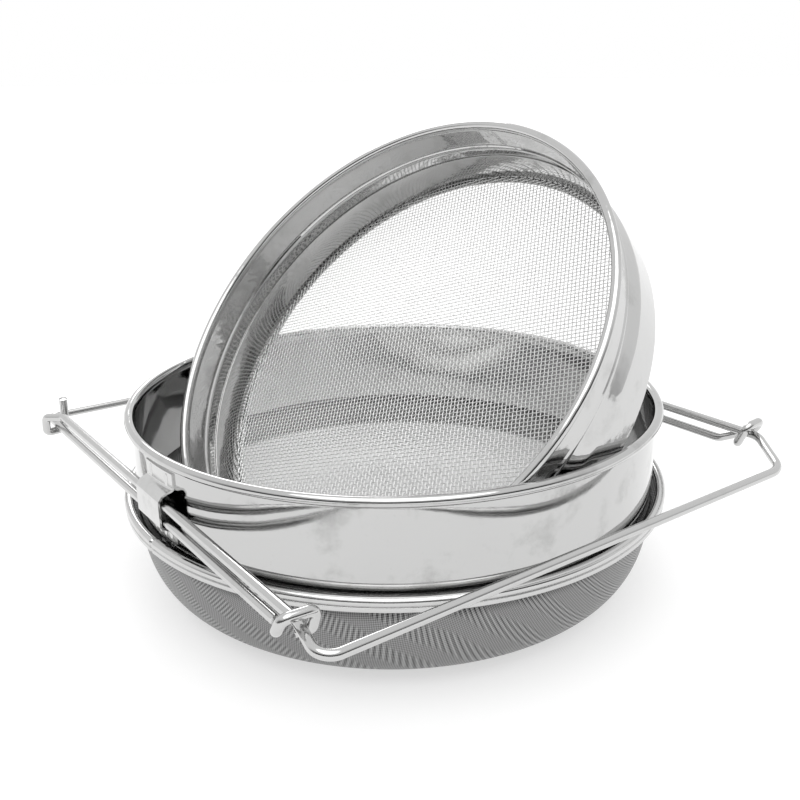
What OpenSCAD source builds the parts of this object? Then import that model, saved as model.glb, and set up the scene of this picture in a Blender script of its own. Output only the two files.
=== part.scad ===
// Double sieve strainer for honey: a coarse sieve leaning inside the drum of a fine
// mesh bowl, with two wire handles that telescope through straps on the drum.
// Z is up, the drum's axis is Z, and the bowl stands on Z = 0.
// The handles slide along Y: the front one towards -Y, the rear one towards +Y.

/* [Lower drum] */
// Outer radius of the drum's wall
drum_r = 117.2; // [117:0.1:118]
// Height of the centre of the drum's rolled rim above the table
rim_h = 82; // [82:0.5:90]
// Depth of the drum's wall below the centre of its rim
drum_depth = 41; // [39.5:0.5:41.5]
// Outer diameter of the drum's rolled rim
drum_curl_d = 4.2; // [4:0.1:4.4]
// Thickness of the steel sheet
sheet = 0.6; // [0.5:0.05:0.7]

/* [Bowl of fine mesh] */
// Radius of the middle of the bowl's ring
ring_r = 121.45; // [121.4:0.05:122]
// Diameter of the round bead of the bowl's ring
ring_d = 3.9; // [3.6:0.1:4]
// Depth of the centre of the ring's bead below the drum's rim
ring_drop = 36.6; // [36:0.1:37]
// Thickness of the fine mesh
fine_t = 0.8; // [0.6:0.05:0.8]
// Squareness of the bowl's side, as the radial exponent of its superellipse
side_power = 10.7; // [9:0.1:13]
// Roundness of the bowl's floor, as the vertical exponent of its superellipse
floor_power = 2.2; // [2:0.1:2.4]

/* [Coarse sieve] */
// Radius of the centre of the coarse sieve's rolled rim
sieve_r = 112; // [111:0.1:112]
// Depth of the coarse sieve from its rim's centre to its foot
sieve_depth = 40; // [38:0.5:40]
// Outer diameter of its rolled rim
sieve_curl_d = 4; // [3.8:0.1:4.2]
// Thickness of the coarse mesh, two wires crossing
coarse_t = 0.9; // [0.8:0.05:1]
// Width of the foot lip under the mesh
lip_w = 4.1; // [3:0.1:5]
// Angle by which the coarse sieve leans
lean = 49; // [47:0.5:50]
// Compass direction that its opening faces
lean_dir = 188.4; // [186:0.2:190]

/* [Handles] */
// Diameter of the handle wire
wire_d = 3.8; // [3.6:0.1:3.8]
// Distance of each leg from the drum's axis plane
leg_x = 120; // [119.8:0.1:120.1]
// Depth of the front handle's legs below the drum's rim
upper_drop = 16.2; // [16:0.1:16.4]
// Depth of the rear handle's legs below the drum's rim
lower_drop = 23; // [22.8:0.1:23.2]
// Distance of the front bar from the drum's axis
front_bar = 135; // [134:0.5:145]
// Distance of the rear bar from the drum's axis
rear_bar = 134; // [134:0.5:145]

/* [Brackets] */
// Width of each strap along the legs
strap_w = 22; // [18:1:24]
// Place of the straps' middle along the legs
strap_y = -7; // [-8:0.5:0]
// Thickness of each strap
strap_t = 0.8; // [0.6:0.1:0.9]

/* [Hidden] */
$fn = 96;

steel = "silver";
bright = "gainsboro";
meshed = "darkgray";
gap = 0.1;                          // clearance of a core wire in its roll

drum_curl_r = drum_r - sheet + 1.2; // radius of the centre line of the drum's roll
ring_z = rim_h - ring_drop;
lip_low = ring_z - 3.6;             // underside of the ring's clamping lip
bowl_r = drum_r + 0.3;
bowl_h = rim_h - drum_depth;        // height of the bowl under the drum's wall
flat_r = bowl_r * 0.57;             // radius of the bowl's flat floor
upper_z = rim_h - upper_drop;
lower_z = rim_h - lower_drop;
hook_in = wire_d + 0.6;             // side and floor of a hook, from the rod that it holds
strap_in = leg_x + wire_d / 2 + 0.3;
wall_r = sieve_r - 0.8;             // outer radius of the coarse sieve's upper wall
band_r = sieve_r + 1;               // outer radius of its wider lower wall
foot = -sieve_depth;
sieve_place = [-12.9, -3.1, rim_h + 30.9];

// Sheet roll seen in section: a tube with its wall hanging from it.
module roll(d) {
    difference() {
        circle(d = d);
        circle(d = d - 2 * sheet);
    }
}

// Ring of round wire about the Z axis.
module wire_ring(r, d) {
    rotate_extrude() translate([r, 0]) circle(d = d, $fn = 48);
}

// ---- bent wire: a round section swept along corners joined by arcs ----

wire_sides = 16;
arc_step = 15;                      // degrees between the rings of a bend

function unit(v) = v / norm(v);
function inner_angle(p, i) = acos(unit(p[i - 1] - p[i]) * unit(p[i + 1] - p[i]));

// Points of the arc of radius b[i] that rounds corner p[i].
function arc(p, b, i) =
    let (to_last = unit(p[i - 1] - p[i]), to_next = unit(p[i + 1] - p[i]))
    let (half = inner_angle(p, i) / 2, centre = p[i] + unit(to_last + to_next) * b[i] / sin(half))
    let (x = unit(p[i] + to_last * b[i] / tan(half) - centre), sweep = 180 - 2 * half)
    let (n = ceil(sweep / arc_step))
    [for (k = [0 : n]) centre + b[i] * (x * cos(k * sweep / n) - to_last * sin(k * sweep / n))];

function centre_line(p, b) = concat([p[0]], [for (i = [1 : len(p) - 2]) each arc(p, b, i)],
    [p[len(p) - 1]]);
function tangents(c) = [for (i = [0 : len(c) - 1])
    unit(c[min(i + 1, len(c) - 1)] - c[max(i - 1, 0)])];
function off(n, t) = unit(n - (n * t) * t);

// Normals carried along the line without twist.
function normals(t) = [for (i = 0, n = off([0.3, 0.2, 1], t[0]); i < len(t);
    i = i + 1, n = i < len(t) ? off(n, t[i]) : n) n];

// p holds the corners of the wire's centre line and b the bend radius at each.
module bent_wire(p, b) {
    c = centre_line(p, b);
    t = tangents(c);
    n = normals(t);
    s = wire_sides;
    last = (len(c) - 1) * s;
    polyhedron(
        [for (i = [0 : len(c) - 1]) for (k = [0 : s - 1])
            c[i] + wire_d / 2 * (n[i] * cos(k * 360 / s) + cross(t[i], n[i]) * sin(k * 360 / s))],
        concat([[for (k = [0 : s - 1]) k]], [[for (k = [s - 1 : -1 : 0]) last + k]],
            [for (i = [0 : len(c) - 2]) for (k = [0 : s - 1])
                [i * s + k, (i + 1) * s + k, (i + 1) * s + (k + 1) % s, i * s + (k + 1) % s]]));
}

function mirrored(p) = [for (q = p) [-q.x, q.y, q.z]];
function reversed(p) = [for (i = [len(p) - 1 : -1 : 0]) p[i]];

// ---- lower drum ----

module lower_drum() color(bright) rotate_extrude($fn = 180) {
    translate([drum_curl_r, rim_h]) roll(drum_curl_d);
    translate([drum_r - sheet, rim_h - drum_depth]) square([sheet, drum_depth - 1.5]);
}

module lower_rim_wire() color(steel)
    translate([0, 0, rim_h]) wire_ring(drum_curl_r, drum_curl_d - 2 * sheet - 2 * gap);

// The strap is bridged over both rods, and its two tabs follow the drum's wall.
module strap_outline(t) {
    top = upper_drop - wire_d / 2 - 0.3;
    low = lower_drop + wire_d / 2 + 0.3;
    inner = drum_r - 6;
    polygon([[inner, -top + 3 + t], [drum_r + 0.4, -top + 3 + t], [strap_in - 1.6, -top + 0.8 + t],
        [strap_in + t - 0.4, -top - 0.2], [strap_in + t, -top - 1.4], [strap_in + t, -low + 1],
        [strap_in + t - 0.5, -low - 0.2], [drum_r + 0.9, -low - 1.6 - t], [inner, -low - 1.6 - t]]);
}

module wall_tab(high, low) {
    translate([0, 0, low])
        intersection() {
            difference() {
                cylinder(r = drum_r + strap_t, h = high - low, $fn = 180);
                translate([0, 0, -1]) cylinder(r = drum_r, h = high - low + 2, $fn = 180);
            }
            translate([0, strap_y - strap_w / 2, 0]) cube([drum_r + 9, strap_w, high - low]);
        }
}

module bracket() color(bright) translate([0, 0, rim_h]) {
    difference() {
        translate([0, strap_y + strap_w / 2, 0]) rotate([90, 0, 0])
            linear_extrude(strap_w) strap_outline(strap_t);
        translate([0, strap_y + strap_w / 2 + 1, 0]) rotate([90, 0, 0])
            linear_extrude(strap_w + 2) strap_outline(0);
        translate([0, 0, -60]) cylinder(r = drum_r, h = 80, $fn = 180);
    }
    wall_tab(-4, -10.5);
    wall_tab(-27.2, -33.4);
    for (y = [-6.6 : 4.4 : 6.6]) weld_dimple(y, -30.6);
    for (y = [-6.6, 6.6]) weld_dimple(y, -7);
}

module weld_dimple(y, z) {
    a = asin((strap_y + y) / drum_r);
    rotate(a) translate([drum_r + strap_t - 0.2, 0, z]) rotate([0, 90, 0])
        cylinder(h = 0.5, r1 = 1.3, r2 = 0.8, $fn = 24);
}

module right_bracket() bracket();
module left_bracket() mirror([1, 0, 0]) bracket();

// ---- handles ----

// Hook at the back end of a front leg: it dives outside the rear handle's rod, passes
// under it and stands up again on its inner side.
front_hook = [[-leg_x + hook_in + 0.3, 120, lower_z + 11.5],
    [-leg_x + hook_in + 0.3, 122, lower_z - hook_in - 0.1],
    [-leg_x - hook_in - 0.4, 121, lower_z - hook_in - 0.1],
    [-leg_x - hook_in - 1, 117, upper_z - 2],
    [-leg_x, 106, upper_z]];
front_path = concat(front_hook,
    [[-leg_x, -117, upper_z], [-leg_x - 3.6, -front_bar - 0.4, upper_z - 2.5],
     [leg_x - 18.8, -front_bar + 0.4, upper_z - 3], [leg_x, -111, upper_z]],
    reversed(mirrored(front_hook)));
front_bends = [0, 3, 3, 4, 6, 12, 6, 14, 12, 6, 4, 3, 3, 0];

module front_handle() color(steel) bent_wire(front_path, front_bends);

// Hook at the front end of a rear leg: it climbs outside the front handle's rod, crosses
// over it and tucks in beneath it.
function rear_hook(y) = [[-leg_x, y + 5, upper_z - hook_in - 0.2],
    [-leg_x + hook_in + 0.4, y + 3, upper_z - hook_in],
    [-leg_x + hook_in + 0.2, y - 1, upper_z + hook_in + 0.2],
    [-leg_x - hook_in - 2.4, y, upper_z + hook_in + 0.2],
    [-leg_x - hook_in - 2.9, y + 3, upper_z - 0.8],
    [-leg_x, y + 16, lower_z]];
// The legs run level, so that the front hooks slide along them, and dip only at the bar.
rear_path = concat(rear_hook(-120),
    [[-leg_x, rear_bar - 10, lower_z], [-leg_x, rear_bar, lower_z - 1],
     [leg_x, rear_bar, lower_z - 3], [leg_x, rear_bar - 10, lower_z]],
    reversed(mirrored(rear_hook(-107))));
rear_bends = [0, 2.4, 3.2, 3.2, 4, 6, 6, 7, 7, 6, 6, 4, 3.2, 3.2, 2.4, 0];

module rear_handle() color(steel) bent_wire(rear_path, rear_bends);

// ---- bowl of fine mesh ----

// Height of the bowl's skin at radius r: flat in the middle, then a superellipse.
function bowl_z(r, h) = r < flat_r ? 0 : h - h * pow(1 - pow(r / bowl_r, side_power), 1 / floor_power);
// Radii crowd towards the rim, where the side is steep.
bowl_radii = concat([0], [for (i = [5 : 22]) bowl_r * pow(sin(i * 90 / 22), 0.55)]);
function bowl_skin(t) = [for (r = bowl_radii) [r * (bowl_r - t) / bowl_r, t + bowl_z(r, bowl_h - 1 - t)]];

module fine_mesh_bowl() color(meshed) rotate_extrude($fn = 180) {
    polygon(concat(bowl_skin(0), reversed(bowl_skin(fine_t))));
    // the side flares out under the drum's wall and up into the ring
    polygon([[bowl_r - fine_t, bowl_h - 1], [bowl_r, bowl_h - 1.6],
        [ring_r + fine_t / 2, lip_low - 0.6], [ring_r + fine_t / 2, ring_z - 1.4],
        [ring_r - fine_t / 2, ring_z - 1.4], [ring_r - fine_t / 2, lip_low],
        [bowl_r - 0.2, bowl_h - 0.9]]);
}

module bowl_ring() color(bright) rotate_extrude($fn = 180) difference() {
    union() {
        translate([ring_r, ring_z]) circle(d = ring_d, $fn = 48);
        translate([ring_r - 1.75, lip_low]) square([3.5, 2]);
        translate([ring_r - 1.3, lip_low + 1]) square([2.6, 1.6]);
    }
    translate([ring_r, ring_z]) circle(d = ring_d - 2 * sheet, $fn = 48);
    translate([ring_r - fine_t / 2, lip_low - 1]) square([fine_t, ring_z - lip_low]);
}

module bowl_ring_wire() color(steel)
    translate([0, 0, ring_z + 0.35]) wire_ring(ring_r, ring_d - 2 * sheet - 0.7 - 2 * gap);

// Small angle under each bracket: welded to the wall, with its foot against the ring.
module hanger() {
    rotate(asin(strap_y / drum_r) - 1) rotate_extrude(angle = 2, $fn = 180) {
        translate([drum_r, lip_low]) square([0.8, rim_h - 33.4 - lip_low]);
        translate([drum_r, lip_low]) square([ring_r - 1.75 - drum_r, 1.2]);
    }
}

module bowl_hangers() color(steel) {
    hanger();
    mirror([1, 0, 0]) hanger();
}

// ---- coarse sieve ----

// Outer line of the wall, from foot to rim: a wide band, a rounded shoulder, a groove,
// a small ridge and the narrower upper wall.
shoulder = [for (i = [0 : 8]) [band_r - (band_r - wall_r + 0.3) * (1 - cos(i * 22.5)) / 2,
    -21.5 + 6.5 * i / 8]];
wall_line = concat([[band_r, foot]], shoulder,
    [[wall_r + 0.45, -13.6], [wall_r + 0.5, -13], [wall_r, -12.3], [wall_r, -1.4]]);
function inset(p) = [for (q = reversed(p)) [q.x - sheet, q.y]];

module leaning() translate(sieve_place) rotate([0, 0, lean_dir]) rotate([0, lean, 0]) children();

module coarse_drum() color(bright) leaning() rotate_extrude($fn = 180) {
    translate([sieve_r, 0]) roll(sieve_curl_d);
    polygon(concat(wall_line, inset(wall_line)));
    translate([band_r - lip_w, foot]) square([lip_w, sheet]);
}

module coarse_rim_wire() color(steel)
    leaning() wire_ring(sieve_r, sieve_curl_d - 2 * sheet - 2 * gap);

module coarse_mesh() color(meshed) leaning()
    translate([0, 0, foot + sheet]) cylinder(r = band_r - sheet, h = coarse_t, $fn = 180);

// Band pressed inside the wide part of the wall, which clamps the mesh on the lip.
module coarse_mesh_band() color(bright) leaning() rotate_extrude($fn = 180)
    translate([band_r - 2 * sheet, foot + sheet + coarse_t])
        square([sheet, sieve_depth - 22.5 - sheet - coarse_t]);

lower_drum();
lower_rim_wire();
left_bracket();
right_bracket();
front_handle();
rear_handle();
fine_mesh_bowl();
bowl_ring();
bowl_ring_wire();
bowl_hangers();
coarse_drum();
coarse_rim_wire();
coarse_mesh();
coarse_mesh_band();
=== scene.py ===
import bpy
import numpy as np
from mathutils import Euler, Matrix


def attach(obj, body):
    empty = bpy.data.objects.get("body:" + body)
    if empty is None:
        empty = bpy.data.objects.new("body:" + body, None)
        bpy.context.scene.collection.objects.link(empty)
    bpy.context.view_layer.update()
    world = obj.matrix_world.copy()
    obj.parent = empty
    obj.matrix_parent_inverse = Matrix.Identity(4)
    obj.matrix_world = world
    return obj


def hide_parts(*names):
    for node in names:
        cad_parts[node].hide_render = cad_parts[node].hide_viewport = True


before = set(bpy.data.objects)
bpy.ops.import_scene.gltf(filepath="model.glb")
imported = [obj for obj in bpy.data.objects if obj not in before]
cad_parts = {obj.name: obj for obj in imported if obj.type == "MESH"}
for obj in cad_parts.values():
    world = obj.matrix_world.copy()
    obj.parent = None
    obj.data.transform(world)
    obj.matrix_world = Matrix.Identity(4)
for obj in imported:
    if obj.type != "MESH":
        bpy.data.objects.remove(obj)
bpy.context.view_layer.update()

mm = 0.001  # measures are in millimetres until a mesh is filled, unless a note says metres
mostTriangles = 190000  # a turned piece gets fewer steps rather than more triangles

# camera, floor and light

view = {
    "place": (-236.15, -330.97, 218.85),
    "turn": (70.902, 0.624, -36.117),  # degrees about X, Y and Z
    "lens": 41.95,
    "towardsCamera": (-0.586, -0.810),
}


def makeCamera():
    # stands in front, to the left and above the rims
    camera = bpy.data.cameras.new("studioCamera")
    camera.lens = view["lens"]
    camera.sensor_width = 36
    camera.clip_start = 0.01  # metres
    holder = bpy.data.objects.new("studioCamera", camera)
    holder.location = np.array(view["place"]) * mm
    holder.rotation_euler = Euler(np.radians(view["turn"]))
    bpy.context.scene.collection.objects.link(holder)
    bpy.context.scene.camera = holder


def addNode(tree, kind, inputs=None, **settings):
    # a shader node with its settings; an input is a number, a colour or another node's socket.
    node = tree.nodes.new(kind)
    for key, value in settings.items():
        setattr(node, key, value)
    for key, value in (inputs or {}).items():
        if isinstance(value, bpy.types.NodeSocket):
            tree.links.new(value, node.inputs[key])
        else:
            node.inputs[key].default_value = value
    return node


def addMath(tree, operation, first, second=0.0, third=0.0, clamp=False):
    node = addNode(tree, "ShaderNodeMath", {0: first, 1: second, 2: third}, operation=operation)
    node.use_clamp = clamp
    return node.outputs[0]


def smoothStep(tree, value, low, high):
    node = addNode(tree, "ShaderNodeMapRange", {"Value": value, "From Min": low, "From Max": high},
                   interpolation_type="SMOOTHSTEP")
    return node.outputs["Result"]


sky = {
    "bright": 0.95,
    "dark": 0.06,
    "bandLow": 0.22,     # upward share of the direction at which the band begins to fade
    "bandHigh": 0.62,
    "sideLow": -0.15,    # share of the direction that points to the dim side
    "sideHigh": 0.6,
}


def makeSky():
    # white all round, but for a dim band near the horizon on one fixed side; looked at directly it is
    # plain white
    world = bpy.data.worlds.new("studioSky")
    world.use_nodes = True
    bpy.context.scene.world = world
    tree = world.node_tree
    tree.nodes.clear()
    way = addNode(tree, "ShaderNodeSeparateXYZ",
                  {0: addNode(tree, "ShaderNodeTexCoord").outputs["Generated"]})
    east, north = view["towardsCamera"]
    facing = addMath(tree, "ADD", addMath(tree, "MULTIPLY", way.outputs["X"], east),
                     addMath(tree, "MULTIPLY", way.outputs["Y"], north))
    side = smoothStep(tree, facing, sky["sideLow"], sky["sideHigh"])
    high = smoothStep(tree, way.outputs["Z"], sky["bandLow"], sky["bandHigh"])
    band = addMath(tree, "SUBTRACT", 1.0, high)
    share = addMath(tree, "MULTIPLY", side, band)
    tone = addNode(tree, "ShaderNodeMapRange", {
        "Value": share, "To Min": sky["bright"], "To Max": sky["dark"]})
    studio = addNode(tree, "ShaderNodeBackground", {"Color": tone.outputs["Result"]})
    plain = addNode(tree, "ShaderNodeBackground", {"Color": (1, 1, 1, 1), "Strength": 1.0})
    mix = addNode(tree, "ShaderNodeMixShader", {
        0: addNode(tree, "ShaderNodeLightPath").outputs["Is Camera Ray"],
        1: studio.outputs[0], 2: plain.outputs[0]})
    addNode(tree, "ShaderNodeOutputWorld", {"Surface": mix.outputs[0]})


lamps = {  # turn and spread in degrees
    "wideSoftbox": {"turn": (16, -12, 0), "spread": 58, "power": 1.15},
    "rimSoftbox": {"turn": (-52, 34, 0), "spread": 22, "power": 0.35},
}


def makeLamps():
    for name, lamp in lamps.items():
        light = bpy.data.lights.new(name, "SUN")
        light.angle = np.radians(lamp["spread"])
        light.energy = lamp["power"]
        holder = bpy.data.objects.new(name, light)
        holder.rotation_euler = Euler(np.radians(lamp["turn"]))
        bpy.context.scene.collection.objects.link(holder)


table = {
    "half": 40.0,        # half its width, in metres
    "tone": 0.50,
    "glow": 0.55,
    "rough": 0.9,
    "gloss": 0.1,
}


def makeFloor():
    # a pale table, lit a little from within
    half = table["half"]
    mesh = bpy.data.meshes.new("floor")
    corners = [(-half, -half, 0), (half, -half, 0), (half, half, 0), (-half, half, 0)]
    mesh.from_pydata(corners, [], [(0, 1, 2, 3)])
    floor = bpy.data.objects.new("floor", mesh)
    bpy.context.scene.collection.objects.link(floor)
    paint = bpy.data.materials.new("paleFloor")
    paint.use_nodes = True
    shader = paint.node_tree.nodes["Principled BSDF"]
    shader.inputs["Base Color"].default_value = (table["tone"], table["tone"], table["tone"], 1)
    shader.inputs["Roughness"].default_value = table["rough"]
    shader.inputs["Specular IOR Level"].default_value = table["gloss"]
    shader.inputs["Emission Color"].default_value = (1, 1, 1, 1)
    shader.inputs["Emission Strength"].default_value = table["glow"]
    mesh.materials.append(paint)


bpy.context.scene.view_settings.view_transform = "Standard"
makeCamera()
makeSky()
makeLamps()
makeFloor()
print("studio ready")

# shape tools


def unit(vector):
    return vector / np.linalg.norm(vector, axis=-1, keepdims=True)


def arcPoints(centre, radius, start, stop, count):
    # Points of a circle: centre + radius (cos a, sin a), for a from start to stop in degrees.
    a = np.radians(np.linspace(start, stop, count))
    return np.array(centre) + radius * np.stack([np.cos(a), np.sin(a)], 1)


def softCorners(points, bends, step=10.0):
    # A line through corner points, with an arc of the given radius in place of each inner corner. The arc's
    # centre lies on the corner's bisector, radius / sin(half the corner's angle) away.
    points = np.array(points, float)
    parts = [points[:1]]
    for i, bend in enumerate(bends, 1):
        back, ahead = unit(points[i - 1] - points[i]), unit(points[i + 1] - points[i])
        half = np.arccos(np.clip(back @ ahead, -1, 1)) / 2
        centre = points[i] + unit(back + ahead) * bend / np.sin(half)
        x = unit(points[i] + back * bend / np.tan(half) - centre)
        sweep = np.pi - 2 * half
        a = np.linspace(0, sweep, int(np.ceil(np.degrees(sweep) / step)) + 1)
        parts.append(centre + bend * (np.outer(np.cos(a), x) - np.outer(np.sin(a), back)))
    return np.concatenate(parts + [points[-1:]])


def sheetLoop(line, thickness, capSteps=5):
    # Closed outline of a bent sheet: its middle line moved half a thickness to both sides, with round ends.
    # An end is the half circle end + half (side cos a + along sin a).
    along = unit(np.gradient(line, axis=0))
    side = np.stack([-along[:, 1], along[:, 0]], 1)
    a = np.linspace(0, np.pi, capSteps + 2)[1:-1, None]
    half = thickness / 2
    endCap = line[-1] + half * (np.cos(a) * side[-1] + np.sin(a) * along[-1])
    startCap = line[0] - half * (np.cos(a) * side[0] + np.sin(a) * along[0])
    return np.concatenate([line + half * side, endCap, (line - half * side)[::-1], startCap])


def evenLine(line, spacing):
    # The same line with points added where they stand further apart than the spacing.
    gaps = np.linalg.norm(np.diff(line, axis=0), axis=1)
    counts = np.maximum(1, np.ceil(gaps / spacing).astype(int))
    place = np.concatenate([i + np.arange(n) / n for i, n in enumerate(counts)] + [[len(line) - 1]])
    index = np.arange(len(line))
    return np.stack([np.interp(place, index, line[:, k]) for k in range(line.shape[1])], 1)


def fillMesh(name, points, quads, uv=None, caps=(), sharp=38):
    # A mesh from an array of points in millimetres, an array of quads and a few many-sided caps.
    # Its volume, the sum of the quads' and caps' tetrahedra to the origin, tells which way it faces.
    a, b, c, d = (points[quads[:, k]] for k in range(4))
    volume = np.sum(np.cross(a, b) * c) + np.sum(np.cross(a, c) * d)
    for cap in caps:
        p = points[np.array(cap)]
        volume += np.sum(np.cross(np.broadcast_to(p[0], p[1:-1].shape), p[1:-1]) * p[2:])
    flip = volume < 0
    if flip:
        quads = quads[:, ::-1]
        uv = None if uv is None else uv[:, ::-1]
        caps = [list(cap)[::-1] for cap in caps]
    loops = np.concatenate([quads.ravel()] + [np.array(cap) for cap in caps]).astype(np.int32)
    totals = np.concatenate([np.full(len(quads), 4), [len(cap) for cap in caps]]).astype(np.int32)
    mesh = bpy.data.meshes.new(name)
    mesh.vertices.add(len(points))
    mesh.vertices.foreach_set("co", (points * mm).astype(np.float32).ravel())
    mesh.loops.add(len(loops))
    mesh.loops.foreach_set("vertex_index", loops)
    mesh.polygons.add(len(totals))
    mesh.polygons.foreach_set("loop_start", np.concatenate([[0], np.cumsum(totals)[:-1]]).astype(np.int32))
    mesh.polygons.foreach_set("loop_total", totals)
    mesh.polygons.foreach_set("use_smooth", np.ones(len(totals), bool))
    if uv is not None:
        layer = mesh.uv_layers.new(name="sheet")
        flat = np.zeros((len(loops), 2), np.float32)
        flat[:quads.size] = uv.reshape(-1, 2) * mm
        layer.data.foreach_set("uv", flat.ravel())
    mesh.update(calc_edges=True)
    mesh.validate()
    mesh.set_sharp_from_angle(angle=np.radians(sharp))
    piece = bpy.data.objects.new(name, mesh)
    bpy.context.scene.collection.objects.link(piece)
    return piece


def gridQuads(rows, columns, wrapRows, wrapColumns):
    # Vertex numbers of the quads of a grid whose rows or columns may close on themselves.
    i, j = np.meshgrid(np.arange(rows if wrapRows else rows - 1),
                       np.arange(columns if wrapColumns else columns - 1), indexing="ij")
    i, j = i.ravel(), j.ravel()
    nextI, nextJ = (i + 1) % rows, (j + 1) % columns
    corners = [i * columns + j, nextI * columns + j, nextI * columns + nextJ, i * columns + nextJ]
    return np.stack(corners, 1), i, j


def gridUv(i, j, u, v):
    # Quad corners' places on the unrolled sheet; u and v hold one more value than a closed grid has rows.
    return np.stack([np.stack([u[i], u[i + 1], u[i + 1], u[i]], 1),
                     np.stack([v[j], v[j], v[j + 1], v[j + 1]], 1)], 2)


def lengthAlong(line):
    # Distance from the start to each point: the running sum of the gaps.
    return np.concatenate([[0], np.cumsum(np.linalg.norm(np.diff(line, axis=0), axis=1))])


def lathe(name, outline, steps=720, move=None, angles=None, bulge=None, sharp=38):
    # A closed outline (r, z) turned about Z: x = r cos a, y = r sin a. bulge may change r and z at each
    # angle, and move then puts the points in place.
    steps = min(steps, mostTriangles // (2 * len(outline)))
    a = np.linspace(0, 2 * np.pi, steps, endpoint=False) if angles is None else angles
    r = np.broadcast_to(outline[:, 0], (len(a), len(outline)))
    z = np.broadcast_to(outline[:, 1], (len(a), len(outline)))
    if bulge:
        r, z = bulge(a[:, None], r, z)
    points = np.stack([r * np.cos(a)[:, None], r * np.sin(a)[:, None], z], 2).reshape(-1, 3)
    if move:
        points = move(points)
    quads, i, j = gridQuads(len(a), len(outline), True, True)
    turn = np.concatenate([a, [a[0] + 2 * np.pi]]) * outline[:, 0].max()
    length = lengthAlong(np.concatenate([outline, outline[:1]]))
    return fillMesh(name, points, quads, gridUv(i, j, turn, length), sharp=sharp)


# finishes


def startMaterial(name):
    material = bpy.data.materials.new(name)
    material.use_nodes = True
    tree = material.node_tree
    return material, tree, tree.nodes["Principled BSDF"]


polish = {
    "dents": 26.0,        # how closely each kind of mark stands
    "press": 210.0,
    "haze": 55.0,
    "specks": 900.0,
    "lineRough": 0.10,    # roughness between the smoothest and the roughest drawn line
    "speckWear": 0.35,
    "wornRough": 0.22,
    "wornTone": 0.72,     # of the clean tone
    "wornBlue": 0.71,
    "blue": 0.995,        # steel is a little warmer than grey
}


def steel(name, tone, rough, drawn=0.0, wavy=0.0, smudge=0.0, ripple=0.0, metal=1.0, drawnScale=(30, 5200)):
    # Stainless sheet or wire. Three bumps lie on each other, with depths in millimetres: wavy for slow dents
    # that bend reflections, ripple for small press marks, drawn for fine lines along the rolling direction.
    # smudge is the share by which haze dulls the polish, and metal how metallic the surface is.
    material, tree, shader = startMaterial(name)
    unrolled = addNode(tree, "ShaderNodeUVMap").outputs["UV"]
    place = addNode(tree, "ShaderNodeTexCoord").outputs["Object"]
    along = addNode(tree, "ShaderNodeMapping", {"Vector": unrolled, "Scale": (*drawnScale, 1)})
    lines = addNode(tree, "ShaderNodeTexNoise", {"Vector": along.outputs[0], "Scale": 1.0, "Detail": 3.0})
    slow = addNode(tree, "ShaderNodeTexNoise", {"Vector": place, "Scale": polish["dents"], "Detail": 1.5})
    haze = addNode(tree, "ShaderNodeTexNoise", {
        "Vector": place, "Scale": polish["haze"], "Detail": 5.0, "Roughness": 0.62})
    dull = smoothStep(tree, haze.outputs[0], 0.52, 0.74)
    speck = addNode(tree, "ShaderNodeTexNoise", {"Vector": place, "Scale": polish["specks"], "Detail": 2.0})
    spots = smoothStep(tree, speck.outputs[0], 0.66, 0.80)
    worn = addMath(tree, "MULTIPLY_ADD", spots, polish["speckWear"], dull, clamp=True)
    wornTone = tone * polish["wornTone"]
    base = addNode(tree, "ShaderNodeMix", {
        "Factor": addMath(tree, "MULTIPLY", worn, smudge),
        6: (tone, tone, tone * polish["blue"], 1),
        7: (wornTone, wornTone, tone * polish["wornBlue"], 1)}, data_type="RGBA")
    lineRough = polish["lineRough"]
    grain = addMath(tree, "MULTIPLY_ADD", lines.outputs[0], lineRough, rough - lineRough / 2)
    tree.links.new(base.outputs[2], shader.inputs["Base Color"])
    dulled = addMath(tree, "MULTIPLY_ADD", worn, smudge * polish["wornRough"], grain, clamp=True)
    tree.links.new(dulled, shader.inputs["Roughness"])
    shader.inputs["Metallic"].default_value = metal
    waves = addNode(tree, "ShaderNodeBump", {
        "Height": slow.outputs[0], "Distance": wavy * mm, "Strength": 1.0})
    press = addNode(tree, "ShaderNodeTexNoise", {"Vector": place, "Scale": polish["press"], "Detail": 1.0})
    pressed = addNode(tree, "ShaderNodeBump", {
        "Height": press.outputs[0], "Distance": ripple * mm, "Strength": 1.0, "Normal": waves.outputs[0]})
    fine = addNode(tree, "ShaderNodeBump", {
        "Height": lines.outputs[0], "Distance": drawn * mm, "Strength": 1.0, "Normal": pressed.outputs[0]})
    tree.links.new(fine.outputs[0], shader.inputs["Normal"])
    return material


mirrorSheet = steel("mirrorSheet", 0.54, 0.06, drawn=0.002, wavy=0.45, smudge=0.6, ripple=0.012)
sieveSheet = steel("sieveSheet", 0.56, 0.07, drawn=0.003, wavy=0.8, smudge=0.5, ripple=0.09)
ringSheet = steel("ringSheet", 0.58, 0.13, drawn=0.004, wavy=0.2, smudge=0.5)
strapSheet = steel("strapSheet", 0.62, 0.17, drawn=0.004, wavy=0.3, smudge=0.5)
drawnWire = steel("drawnWire", 0.56, 0.14, drawn=0.004, wavy=0.05, smudge=0.35, drawnScale=(40, 2400))
coreWire = steel("coreWire", 0.55, 0.30, smudge=0.4)
meshWire = steel("meshWire", 0.88, 0.48, smudge=0.25, metal=0.45)


def dress(piece, material, body, slot, *nodes):
    # gives a piece its material, its body and the nodes that it stands for
    piece.data.materials.clear()
    piece.data.materials.append(material)
    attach(piece, body)
    if nodes:
        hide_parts(*nodes)


# lower drum

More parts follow.
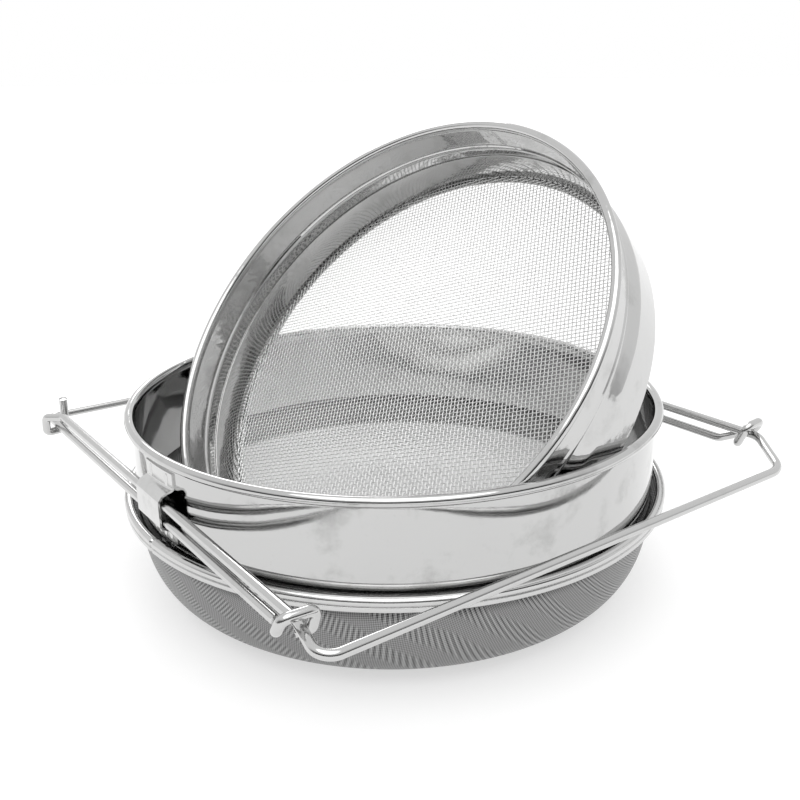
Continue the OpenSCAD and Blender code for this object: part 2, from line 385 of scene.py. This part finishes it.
drum = {
    "wall": 116.9,       # middle of the sheet
    "rim": 82.0,         # height of the centre of the roll
    "foot": 41.0,
    "roll": 117.8,       # radius of the centre of the roll
    "rollRadius": 1.8,   # to the middle of the sheet
    "sheet": 0.6,
}


def rolledRim(wall, centre, radius, foot):
    # Middle line (r, z) of a wall that rises from its foot and rolls outwards round a wire: a straight, a
    # quadratic curve (1 - t)^2 low + 2 t (1 - t) corner + t^2 start, and an arc of the roll.
    joins, ends = 210, -108  # degrees round the roll
    start = centre + radius * np.array([np.cos(np.radians(joins)), np.sin(np.radians(joins))])
    slope = np.array([0.5, -np.sqrt(0.75)])  # tangent where the wall meets the roll
    corner = start + slope * (wall - start[0]) / slope[0]
    low = corner - [0, 1.0]
    t = np.linspace(0, 1, 8)[:, None]
    blend = (1 - t) ** 2 * low + 2 * t * (1 - t) * corner + t ** 2 * start
    roll = arcPoints(centre, radius, joins, ends, 54)
    return np.concatenate([evenLine(np.array([[wall, foot], low]), 2.0)[:-1], blend[:-1], roll])


def makeDrum():
    centre = np.array([drum["roll"], drum["rim"]])
    line = rolledRim(drum["wall"], centre, drum["rollRadius"], drum["foot"] + drum["sheet"] / 2)
    piece = lathe("drumWall", sheetLoop(line, drum["sheet"]))
    dress(piece, mirrorSheet, "strainer", "polished_sheet", "lower_drum")


makeDrum()
print("lower drum ready")

# coarse sieve

sieve = {
    "place": (-12.9, -3.1, 112.9),   # middle of its rim
    "lean": 49.0,
    "facing": 188.4,
    "rim": 112.0,        # radius of the centre of the roll
    "rollRadius": 1.7,
    "wall": 110.9,       # radii and heights are in the sieve's own frame, from the rim's middle
    "straight": -8.0,    # top of the plain wall
    "band": 112.7,
    "foot": -39.7,
    "lip": 109.2,
    "sheet": 0.6,
}


def leaning(points):
    # The sieve's own frame to the strainer's: a lean about Y, a turn about Z, then the move to its place.
    lean, facing = np.radians(sieve["lean"]), np.radians(sieve["facing"])
    tip = np.array([[np.cos(lean), 0, np.sin(lean)], [0, 1, 0], [-np.sin(lean), 0, np.cos(lean)]])
    turn = np.array([[np.cos(facing), -np.sin(facing), 0], [np.sin(facing), np.cos(facing), 0], [0, 0, 1]])
    return points @ (turn @ tip).T + np.array(sieve["place"])


def makeSieveWall():
    # The wall's outline, from its inner lip past a bead up to the rolled rim, turned and leant.
    wall, band, straight = sieve["wall"], sieve["band"], sieve["straight"]
    body = softCorners([
        (sieve["lip"], sieve["foot"]), (band, sieve["foot"]), (band, -22.2), (wall - 0.3, -15.2),
        (wall - 0.25, -14.3), (wall + 0.45, -13.3), (wall, -12.0), (wall, straight)],
        [0.8, 4.0, 2.0, 0.7, 0.6, 1.0])
    roll = rolledRim(wall, np.array([sieve["rim"], 0.0]), sieve["rollRadius"], straight)
    line = np.concatenate([evenLine(body, 2.0), roll[1:]])
    piece = lathe("sieveWall", sheetLoop(line, sieve["sheet"]), move=leaning)
    dress(piece, sieveSheet, "coarse_sieve", "sieve_sheet", "coarse_drum")


clampBand = {"outer": 112.35, "inner": 111.8, "low": -38.4, "high": -22.5, "soft": 0.25}


def makeClampBand():
    # a flat band with softened corners, turned and leant
    outer, inner, low, high, soft = (clampBand[k] for k in ("outer", "inner", "low", "high", "soft"))
    outline = softCorners([
        (inner, (low + high) / 2), (inner, low), (outer, low), (outer, high), (inner, high),
        (inner, (low + high) / 2)], [soft] * 4, step=30)[:-1]
    piece = lathe("clampBand", outline, move=leaning)
    dress(piece, sieveSheet, "coarse_sieve", "sieve_sheet", "coarse_mesh_band")


coarseMesh = {
    "pitch": 1.88,
    "wire": 0.44,
    "plump": 0.56,       # half a wire section's diagonal, in wires
    "radius": 112.1,
    "height": -38.95,
    "turn": 23.0,
}


def wovenWires(name, across, phase):
    # Parallel wires of a plain weave that fill a disc. Wire k lies at (k + 1/2) pitches and rises and falls
    # as height = (-1)^k * phase * sin(pi * s / pitch) * wire / 2, with s the way along it. Each has four
    # sides.
    pitch, wire, radius = coarseMesh["pitch"], coarseMesh["wire"], coarseMesh["radius"]
    count = int(radius / pitch)
    k = np.arange(-count, count)
    offset = (k + 0.5) * pitch
    s = np.arange(-2 * count - 1, 2 * count + 2) * pitch / 2
    height = phase * np.where(k % 2 == 0, 1, -1)[:, None] * np.sin(np.pi * s / pitch) * wire / 2
    inside = s[None, :] ** 2 + offset[:, None] ** 2 < radius ** 2
    half = wire * coarseMesh["plump"]
    sideways = half * np.array([1, 0, -1, 0])
    upward = half * np.array([0, 1, 0, -1])
    shape = (len(k), len(s), 4)
    p = np.broadcast_to(s[None, :, None], shape)
    q = offset[:, None, None] + np.broadcast_to(sideways, shape)
    z = coarseMesh["height"] + height[:, :, None] + upward
    points = np.stack([q, p, z] if across else [p, q, z], 3).reshape(-1, 3)
    number = np.arange(points.shape[0]).reshape(shape)
    both = inside[:, :-1] & inside[:, 1:]
    start, end = number[:, :-1][both], number[:, 1:][both]
    sides = np.stack([start, np.roll(start, -1, 1), np.roll(end, -1, 1), end], 2).reshape(-1, 4)
    if across:
        sides = sides[:, ::-1]
    first, last = inside.argmax(1), len(s) - 1 - inside[:, ::-1].argmax(1)
    row = np.arange(len(k))
    heads, tails = number[row, first][:, ::-1], number[row, last]
    if across:
        heads, tails = heads[:, ::-1], tails[:, ::-1]
    quads = np.concatenate([sides, heads, tails])
    used, quads = np.unique(quads, return_inverse=True)
    turn = np.radians(coarseMesh["turn"])
    points = points[used]
    cos, sin = np.cos(turn), np.sin(turn)
    x, y, z = points.T
    points = np.stack([x * cos - y * sin, x * sin + y * cos, z], 1)
    piece = fillMesh(name, leaning(points), quads.reshape(-1, 4), sharp=80)
    dress(piece, meshWire, "coarse_sieve", "coarse_mesh", "coarse_mesh")


makeSieveWall()
makeClampBand()
wovenWires("coarseWarp", False, 1)
wovenWires("coarseWeft", True, -1)
print("coarse sieve ready")

# bowl of fine mesh, its ring and hangers

bowl = {
    "radius": 117.5,
    "height": 40.0,
    "squareness": 10.7,
    "roundness": 2.2,
    "eye": 2.0,          # radius of the flat middle
    "steps": 480,
    "thick": 0.8,
    "ringRadius": 121.45,
    "ringHeight": 45.4,
    "bead": 1.95,
    "lip": 41.8,
}


def makeFineBowl():
    # Superellipse side, z = h - h (1 - (r / R)^m)^(1 / n), then a flare that enters the ring.
    t = np.linspace(0, 1, 60)
    r = bowl["radius"] * np.sin(t * np.pi / 2) ** 0.5
    r[0] = bowl["eye"]
    share = (r / bowl["radius"]) ** bowl["squareness"]
    z = bowl["height"] * (1 - (1 - share).clip(0) ** (1 / bowl["roundness"]))
    mouth = bowl["ringRadius"]
    corners = [(r[-1], z[-1]), (r[-1] + 0.2, 40.6), (mouth, 41.4), (mouth, 43.6)]
    flare = softCorners(corners, [0.3, 0.6], step=20)[1:]
    line = np.concatenate([np.stack([r, z], 1), flare])
    along = unit(np.gradient(line, axis=0))
    side = np.stack([-along[:, 1], along[:, 0]], 1)
    inner = line + side * bowl["thick"]
    inner[:, 0] = np.minimum(inner[:, 0], line[:, 0])
    outline = np.concatenate([line, inner[::-1]])
    spread = lengthAlong(line)
    reach = np.concatenate([spread, spread[::-1]]) + r[0]
    steps = bowl["steps"]
    a = np.linspace(0, 2 * np.pi, steps, endpoint=False)
    points = np.stack([np.outer(np.cos(a), outline[:, 0]), np.outer(np.sin(a), outline[:, 0]),
                       np.broadcast_to(outline[:, 1], (steps, len(outline)))], 2).reshape(-1, 3)
    quads, i, j = gridQuads(steps, len(outline), True, False)
    turn = np.concatenate([a, [2 * np.pi]])
    u, v = (gridUv(i, j, turn, reach)[:, :, k] for k in (0, 1))
    flat = np.stack([v * np.cos(u), v * np.sin(u)], 2)  # where the point lay before the mesh was pressed
    row = np.arange(steps) * len(outline)
    piece = fillMesh("fineBowl", points, quads, flat, caps=[row[::-1], row + len(outline) - 1], sharp=60)
    within = piece.data.attributes.new("within", "FLOAT", "POINT")  # 1 on the skin that faces the axis
    within.data.foreach_set("value", np.tile(np.arange(len(outline)) >= len(line), steps).astype(np.float32))
    dress(piece, fineMesh(), "strainer", "fine_mesh", "fine_mesh_bowl")


weave = {
    "pitch": 1.35,        # crossed wires, before the mesh was pressed
    "ribs": 3.6,          # stretch ribs at the floor; they crowd towards the ring
    "crowding": 40.0,     # height over which their number would double
    "sectors": 3,
    "middle": 234.0,      # compass direction of the first sector's middle
    "patches": 27.0,      # slanted stretches with ribs and without
    "slant": 1.5,         # way round for each millimetre of height
    "drift": 16.0,        # how far the stretches wander
    "side": (6.0, 8.5),   # heights between which the ribs begin
    "floor": (23.0, 25.5),    # heights between which the painted light on the inside floor ends
    "edge": (34.0, 39.0),     # heights between which painted shade darkens the mesh under the ring
    "outsideTone": 0.25,
    # painted light: tone of the inside floor, lighter than the outside, as though light shone through the
    # mesh
    "paintedLightTone": 0.86,
    # painted shade under the ring
    "paintedRingShade": -0.12,
    "wireTone": 0.12,
    "ribTone": 0.11,
    "ribRelief": 0.8,
    "relief": 0.09,
    "rough": 0.42,
    "metal": 0.75,
    "paintedLightMetal": -0.65,     # added where painted light makes the inside floor pale
}


def fineMesh():
    # crossed wires as sin x * sin y on the flat mesh, and ribs where pressing stretched it, as
    # sin(u (1 + z / crowding)), with u the way round from the middle of a sector
    material, tree, shader = startMaterial("fineMesh")
    flat = addNode(tree, "ShaderNodeSeparateXYZ", {0: addNode(tree, "ShaderNodeUVMap").outputs["UV"]})
    perMetre = 2 * np.pi / (weave["pitch"] * mm)
    wires = [addMath(tree, "SINE", addMath(tree, "MULTIPLY", flat.outputs[k], perMetre)) for k in (0, 1)]
    crossed = addMath(tree, "MULTIPLY", wires[0], wires[1])
    place = addNode(tree, "ShaderNodeSeparateXYZ", {
        0: addNode(tree, "ShaderNodeTexCoord").outputs["Object"]})
    height = place.outputs["Z"]
    angle = addMath(tree, "ARCTAN2", place.outputs["Y"], place.outputs["X"])
    sector = 2 * np.pi / weave["sectors"]
    start = np.radians(weave["middle"]) - sector / 2
    share = addMath(tree, "FRACT", addMath(tree, "MULTIPLY_ADD", angle, 1 / sector, 4 - start / sector))
    around = addMath(tree, "MULTIPLY_ADD", share, sector * bowl["radius"] * mm,
                     -sector / 2 * bowl["radius"] * mm)
    crowding = addMath(tree, "MULTIPLY_ADD", height, 1 / (weave["crowding"] * mm), 1.0)
    crowded = addMath(tree, "MULTIPLY", around, crowding)
    ribs = addMath(tree, "SINE", addMath(tree, "MULTIPLY", crowded, 2 * np.pi / (weave["ribs"] * mm)))
    slanted = addMath(tree, "MULTIPLY_ADD", height, weave["slant"], around)
    drift = addNode(tree, "ShaderNodeTexNoise", {
        "Vector": addNode(tree, "ShaderNodeTexCoord").outputs["Object"], "Scale": 30.0, "Detail": 1.0})
    slanted = addMath(tree, "MULTIPLY_ADD", drift.outputs[0], weave["drift"] * mm, slanted)
    stretch = smoothStep(tree, addMath(tree, "SINE", addMath(
        tree, "MULTIPLY", slanted, 2 * np.pi / (weave["patches"] * mm))), -0.55, 0.45)
    upright = smoothStep(tree, height, *(z * mm for z in weave["side"]))  # only the side has ribs
    ribShare = addMath(tree, "MULTIPLY", addMath(tree, "MULTIPLY", ribs, stretch), upright)
    within = addNode(tree, "ShaderNodeAttribute", attribute_name="within").outputs["Fac"]
    low = addMath(tree, "SUBTRACT", 1.0, smoothStep(tree, height, *(z * mm for z in weave["floor"])))
    paintedLightMask = addMath(tree, "MULTIPLY", within, low)  # painted light: the inside floor is made pale where light through the real mesh would fall
    # the inside floor is painted lighter than the outside tone, as painted light
    plain = addNode(tree, "ShaderNodeMapRange", {
        "Value": paintedLightMask, "To Min": weave["outsideTone"], "To Max": weave["paintedLightTone"]})
    # painted shade: the mesh is darkened just under the ring
    paintedRingShadeMask = smoothStep(tree, height, *(z * mm for z in weave["edge"]))
    edge = addMath(tree, "MULTIPLY_ADD", paintedRingShadeMask, weave["paintedRingShade"], plain.outputs["Result"])
    ribbed = addMath(tree, "MULTIPLY_ADD", ribShare, weave["ribTone"], edge)
    tone = addMath(tree, "MULTIPLY_ADD", crossed, weave["wireTone"], ribbed)
    grey = addNode(tree, "ShaderNodeCombineColor", {0: tone, 1: tone, 2: tone})
    tree.links.new(grey.outputs[0], shader.inputs["Base Color"])
    # less metallic where the inside floor carries painted light
    metal = addMath(tree, "MULTIPLY_ADD", paintedLightMask, weave["paintedLightMetal"], weave["metal"])
    tree.links.new(metal, shader.inputs["Metallic"])
    shader.inputs["Roughness"].default_value = weave["rough"]
    relief = addMath(tree, "MULTIPLY_ADD", ribShare, weave["ribRelief"], crossed)
    bump = addNode(tree, "ShaderNodeBump", {
        "Height": relief, "Distance": weave["relief"] * mm, "Strength": 0.7})
    tree.links.new(bump.outputs[0], shader.inputs["Normal"])
    return material


seam = {
    "angle": 182.5,
    "pinch": 0.40,       # share by which the bead closes, as a bell of this half width
    "halfWidth": 0.6,
    "swell": 0.07,       # a smaller rise beside it
    "swellPlace": 1.9,
    "swellWidth": 1.1,
    "gather": 3.2,       # how closely the steps crowd round the seam
}


def makeRing():
    # Sheet folded over the mesh's edge: a bead above two lips, turned about Z. At the butt seam the bead is
    # scaled about its centre by 1 - pinch exp(-(way / halfWidth)^2), and by a smaller rise beside it.
    r, z, bead, lip = bowl["ringRadius"], bowl["ringHeight"], bowl["bead"], bowl["lip"]
    outer = softCorners([(r, lip), (r + 1.75, lip), (r + 1.75, 43.65), (r + 1.25, 43.9), (r + 1.35, 44.0)],
                        [0.4, 0.25, 0.1], step=25)[1:-1]
    top = arcPoints((r, z), bead, -44, 224, 44)
    inner = outer[::-1] * [-1, 1] + [2 * r, 0]
    outline = np.concatenate([outer, top, inner])
    butt, gather = np.radians(seam["angle"]), seam["gather"]
    spread = np.sinh(np.linspace(-gather, gather, 721)[:-1]) / np.sinh(gather) * np.pi
    near = (butt + spread[300:420]) % (2 * np.pi)  # the sixth of the crowded steps that lies by the seam
    a = np.sort(np.concatenate([np.linspace(0, 2 * np.pi, 600, endpoint=False), near]))

    def pinch(angle, ringR, ringZ):
        way = ((angle - butt + np.pi) % (2 * np.pi) - np.pi) * r
        closed = seam["pinch"] * np.exp(-(way / seam["halfWidth"]) ** 2)
        swollen = seam["swell"] * np.exp(-((way - seam["swellPlace"]) / seam["swellWidth"]) ** 2)
        keep = 1 - closed + swollen
        keepZ = np.where(ringZ > z - 1.5, keep, 1)  # the lips keep their height
        return r + (ringR - r) * keep, z + (ringZ - z) * keepZ

    piece = lathe("bowlRing", outline, angles=a, bulge=pinch)
    dress(piece, ringSheet, "strainer", "ring_sheet", "bowl_ring")


makeFineBowl()
makeRing()
print("bowl ready")

# handles

handle = {
    "wire": 3.8,
    "leg": 120.0,        # from the middle plane to each leg
    "upper": 65.8,       # height of the front handle's legs
    "lower": 59.0,       # height of the rear handle's legs
    "hold": 4.4,         # from a hook's wire to the leg that it holds
    "frontBar": 135.0,
    "rearBar": 134.0,
    "edge": 0.45,        # rounding of the wire's ends
}


def bentWire(name, corners, bends, sides=28):
    # A round section carried along corners joined by arcs: each point is line + radius (normal cos a +
    # across sin a), with the normal carried along unturned. The ends are ground with a small round edge.
    line = evenLine(softCorners(corners, bends, step=6), 12.0)
    keep = np.concatenate([[True], np.linalg.norm(np.diff(line, axis=0), axis=1) > 1e-6])
    line = line[keep]
    along = unit(np.gradient(line, axis=0))
    normals = np.zeros_like(line)
    normal = np.array([0.3, 0.2, 1.0])
    for i, direction in enumerate(along):
        normal = unit(normal - (normal @ direction) * direction)
        normals[i] = normal
    radius = np.full(len(line), handle["wire"] / 2)
    edge = handle["edge"]
    turn = np.linspace(0, np.pi / 2, 5)[:-1]
    inset, shrink = edge * (1 - np.sin(turn)), edge * (1 - np.cos(turn))
    head = line[0] + along[0] * (edge - inset[::-1, None])
    tail = line[-1] - along[-1] * (edge - inset[:, None])
    line = np.concatenate([head, line[1:-1], tail])
    radius = np.concatenate([radius[0] - shrink[::-1], radius[1:-1], radius[-1] - shrink])
    pad = len(turn) - 1
    along = np.concatenate([along[:1]] * pad + [along] + [along[-1:]] * pad)
    normals = np.concatenate([normals[:1]] * pad + [normals] + [normals[-1:]] * pad)
    a = np.linspace(0, 2 * np.pi, sides, endpoint=False)
    cos, sin = np.cos(a)[None, :, None], np.sin(a)[None, :, None]
    ring = normals[:, None] * cos + np.cross(along, normals)[:, None] * sin
    points = (line[:, None] + ring * radius[:, None, None]).reshape(-1, 3)
    quads, i, j = gridQuads(len(line), sides, False, True)
    v = np.linspace(0, np.pi * handle["wire"], sides + 1)
    ends = [np.arange(sides)[::-1], np.arange(sides) + (len(line) - 1) * sides]
    return fillMesh(name, points, quads, gridUv(i, j, lengthAlong(line), v), caps=ends, sharp=50)


def mirrored(corners):
    return [(-x, y, z) for x, y, z in corners][::-1]


def makeHandles():
    # two wires, each bent as hook, leg, bar, leg and mirrored hook; each one's hooks hold the other's legs
    leg, upper, lower, hold = (handle[k] for k in ("leg", "upper", "lower", "hold"))
    frontHook = [(-leg + hold + 0.3, 120, lower + 11.5), (-leg + hold + 0.3, 122, lower - hold - 0.1),
                 (-leg - hold - 0.4, 121, lower - hold - 0.1), (-leg - hold - 1, 117, upper - 2),
                 (-leg, 106, upper)]
    bar = handle["frontBar"]
    front = frontHook + [(-leg, -117, upper), (-leg - 3.6, -bar - 0.4, upper - 2.5),
                         (leg - 18.8, -bar + 0.4, upper - 3), (leg, -111, upper)] + mirrored(frontHook)
    piece = bentWire("frontHandle", front, [3, 3, 4, 6, 12, 6, 14, 12, 6, 4, 3, 3])
    dress(piece, drawnWire, "front_handle", "handle_wire", "front_handle")

    def rearHook(y):
        return [(-leg, y + 5, upper - hold - 0.2), (-leg + hold + 0.4, y + 3, upper - hold),
                (-leg + hold + 0.2, y - 1, upper + hold + 0.2), (-leg - hold - 2.4, y, upper + hold + 0.2),
                (-leg - hold - 2.9, y + 3, upper - 0.8), (-leg, y + 16, lower)]

    bar = handle["rearBar"]
    rear = rearHook(-120) + [(-leg, bar - 10, lower), (-leg, bar, lower - 1), (leg, bar, lower - 3),
                             (leg, bar - 10, lower)] + mirrored(rearHook(-107))
    piece = bentWire("rearHandle", rear, [2.4, 3.2, 3.2, 4, 6, 6, 7, 7, 6, 6, 4, 3.2, 3.2, 2.4])
    dress(piece, drawnWire, "rear_handle", "handle_wire", "rear_handle")


makeHandles()
print("handles ready")

# strap brackets

strap = {
    "middle": -7.0,
    "width": 22.0,
    "sheet": 0.8,
    "tab": 117.6,        # middle of the sheet where it lies on the drum
    "flat": 122.6,       # and where it bridges the wires
    "bend": 1.5,         # way out over which it stops following the drum
    "spacing": 0.45,     # most between the rows
    "dent": 0.5,
    "dentOutside": 0.9,  # share of the dent that shows on each face
    "dentInside": 0.2,
}
welds = [(-6.6, 75.0, 0.9, 2.0), (6.6, 75.0, 0.9, 2.0), (-6.6, 51.4, 0.8, 1.3), (-2.2, 51.4, 0.8, 1.3),
         (2.2, 51.4, 0.8, 1.3), (6.6, 51.4, 0.8, 1.3)]  # along, height, half length, half height


def makeStrap(name, mirror, node):
    # A sheet whose middle line runs (x, z) from tab to tab, carried along y. On the tabs x follows the drum,
    # x = sqrt(tab^2 - y^2); the bridge between them is flat. Each weld is a dent with a flat middle,
    # exp(-(y / half length)^4 - (z / half height)^4).
    tab, flat, spacing = strap["tab"], strap["flat"], strap["spacing"]
    corners = [(tab, 78.0), (tab, 71.3), (tab + 3.4, 69.9), (flat, 67.8), (flat, 57.2),
               (tab + 0.7, 54.8), (tab, 54.0), (tab, 48.6)]
    line = evenLine(softCorners(corners, [1.2, 1.6, 1.0, 1.0, 1.2, 1.0], step=12), spacing)
    y = strap["middle"] + np.linspace(-0.5, 0.5, 64) * strap["width"]
    share = np.clip((line[:, 0] - tab) / strap["bend"], 0, 1)
    wall = np.sqrt(tab ** 2 - y ** 2)
    x = line[:, :1] - (1 - share[:, None]) * (tab - wall[None, :])
    z = np.broadcast_to(line[:, 1:], x.shape)
    depth = sum(strap["dent"] * np.exp(-((y[None, :] - strap["middle"] - weldY) / length) ** 4
                                       - ((z - weldZ) / tall) ** 4) for weldY, weldZ, length, tall in welds)
    half = strap["sheet"] / 2
    normal = unit(np.gradient(line, axis=0))
    outX, outZ = -normal[:, 1:], normal[:, :1]
    faces = []
    for sign, dented in ((1, strap["dentOutside"]), (-1, strap["dentInside"])):
        faces.append(np.stack([x + sign * half * outX - depth * dented,
                               np.broadcast_to(y, x.shape), z + sign * half * outZ], 2))
    outer, inner = faces
    loop = np.concatenate([outer, inner[::-1]], 0)  # rows run down the outside and back up the inside
    if mirror:
        loop = loop * [-1, 1, 1]
    rows, columns = loop.shape[:2]
    quads, i, j = gridQuads(rows, columns, True, False)
    number = np.arange(rows * columns).reshape(rows, columns)
    turnBack = rows // 2
    edges = []
    for column in (0, columns - 1):
        a, b = number[:turnBack, column], number[turnBack:, column][::-1]
        edge = np.stack([a[:-1], b[:-1], b[1:], a[1:]], 1)
        edges.append(edge if column else edge[:, ::-1])
    edges = np.concatenate(edges)
    uv = gridUv(i, j, np.arange(rows + 1) * spacing, y)
    uv = np.concatenate([uv[:, :, ::-1], np.zeros((len(edges), 4, 2))])
    piece = fillMesh(name, loop.reshape(-1, 3), np.concatenate([quads, edges]), uv, sharp=40)
    dress(piece, strapSheet, "strainer", "strap_sheet", node)


makeStrap("leftStrap", True, "left_bracket")
makeStrap("rightStrap", False, "right_bracket")
print("straps ready")

# pieces kept from the frame

for node, material in {
    "lower_rim_wire": coreWire,
    "bowl_ring_wire": coreWire,
    "coarse_rim_wire": coreWire,
    "bowl_hangers": strapSheet,
}.items():
    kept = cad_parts[node]
    kept.data.materials.clear()
    kept.data.materials.append(material)


print("all pieces ready")
